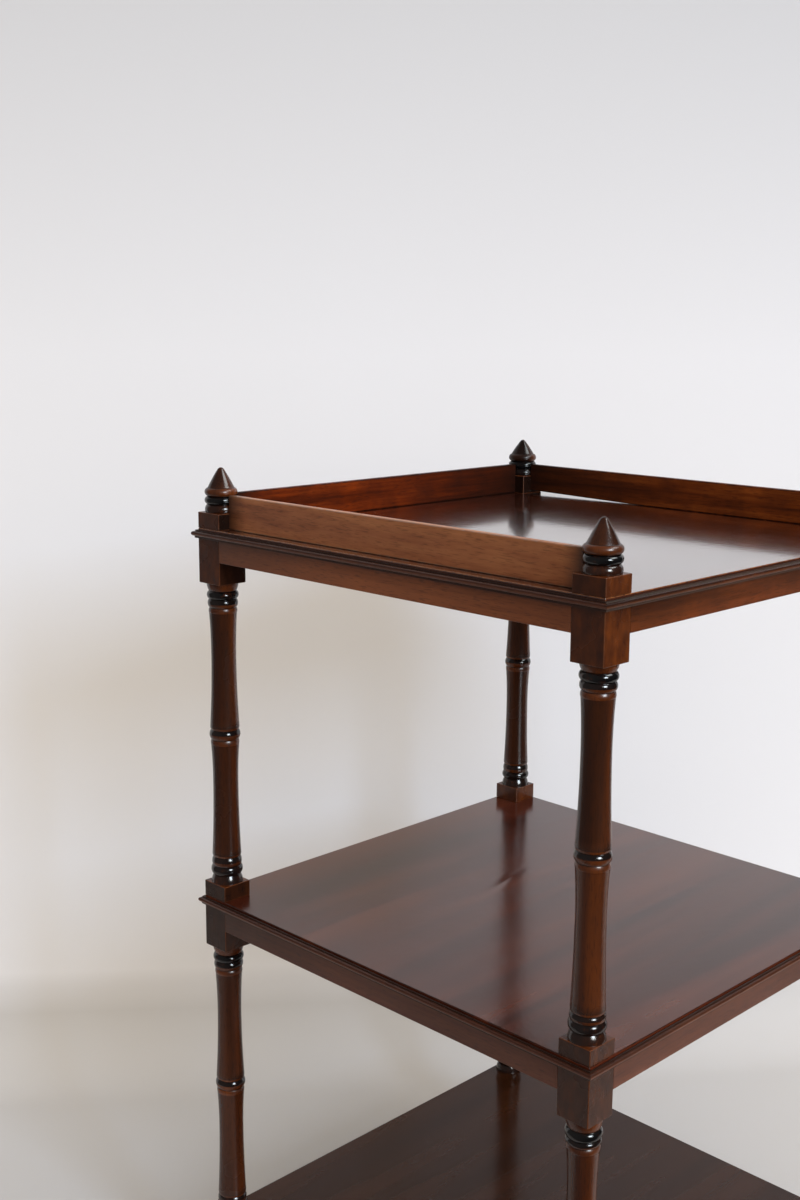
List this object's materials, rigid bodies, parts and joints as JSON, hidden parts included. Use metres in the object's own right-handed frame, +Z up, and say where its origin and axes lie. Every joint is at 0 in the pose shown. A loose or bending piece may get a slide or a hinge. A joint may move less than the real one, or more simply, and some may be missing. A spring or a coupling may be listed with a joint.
{
  "type": "etagere",
  "caption": "Open tiered display stand: ring-turned columns carry thin square shelves with moulded edges, a low gallery round three sides of the top and pointed finials.",
  "frame": {"origin": "on the floor, midway between the four posts", "axes": "+Z up; -Y towards the open front of the gallery, +X to the right of someone who faces that front"},
  "size_m": [0.5016, 0.5156, 0.9286],
  "materials": {
    "shelf_mahogany": "french polish, gloss",
    "dark_mahogany": "french polish, gloss",
    "turned_mahogany": "french polish, gloss, rings blackened",
    "gallery_mahogany": "french polish, gloss",
    "secondary_wood": "unfinished",
    "screw_steel": "dull"
  },
  "bodies": {
    "root": {"bottom_shelf": "shelf_mahogany", "bottom_moulding_front": "dark_mahogany", "bottom_rail_front": "dark_mahogany", "bottom_moulding_right": "dark_mahogany", "bottom_rail_right": "dark_mahogany", "bottom_moulding_back": "dark_mahogany", "bottom_rail_back": "dark_mahogany", "bottom_moulding_left": "dark_mahogany", "bottom_rail_left": "dark_mahogany", "bottom_glue_blocks": "secondary_wood", "bottom_shelf_screws": "screw_steel", "middle_shelf": "shelf_mahogany", "middle_moulding_front": "dark_mahogany", "middle_rail_front": "dark_mahogany", "middle_moulding_right": "dark_mahogany", "middle_rail_right": "dark_mahogany", "middle_moulding_back": "dark_mahogany", "middle_rail_back": "dark_mahogany", "middle_moulding_left": "dark_mahogany", "middle_rail_left": "dark_mahogany", "middle_glue_blocks": "secondary_wood", "middle_shelf_screws": "screw_steel", "top_shelf": "shelf_mahogany", "top_moulding_front": "dark_mahogany", "top_rail_front": "dark_mahogany", "top_moulding_right": "dark_mahogany", "top_rail_right": "dark_mahogany", "top_moulding_back": "dark_mahogany", "top_rail_back": "dark_mahogany", "top_moulding_left": "dark_mahogany", "top_rail_left": "dark_mahogany", "top_glue_blocks": "secondary_wood", "top_shelf_screws": "screw_steel", "foot_front_left": "turned_mahogany", "lower_column_front_left": "turned_mahogany", "upper_column_front_left": "turned_mahogany", "finial_front_left": "turned_mahogany", "foot_front_right": "turned_mahogany", "lower_column_front_right": "turned_mahogany", "upper_column_front_right": "turned_mahogany", "finial_front_right": "turned_mahogany", "foot_back_right": "turned_mahogany", "lower_column_back_right": "turned_mahogany", "upper_column_back_right": "turned_mahogany", "finial_back_right": "turned_mahogany", "foot_back_left": "turned_mahogany", "lower_column_back_left": "turned_mahogany", "upper_column_back_left": "turned_mahogany", "finial_back_left": "turned_mahogany", "gallery_left": "gallery_mahogany", "gallery_back": "gallery_mahogany", "gallery_right": "gallery_mahogany"}
  },
  "joints": []
}
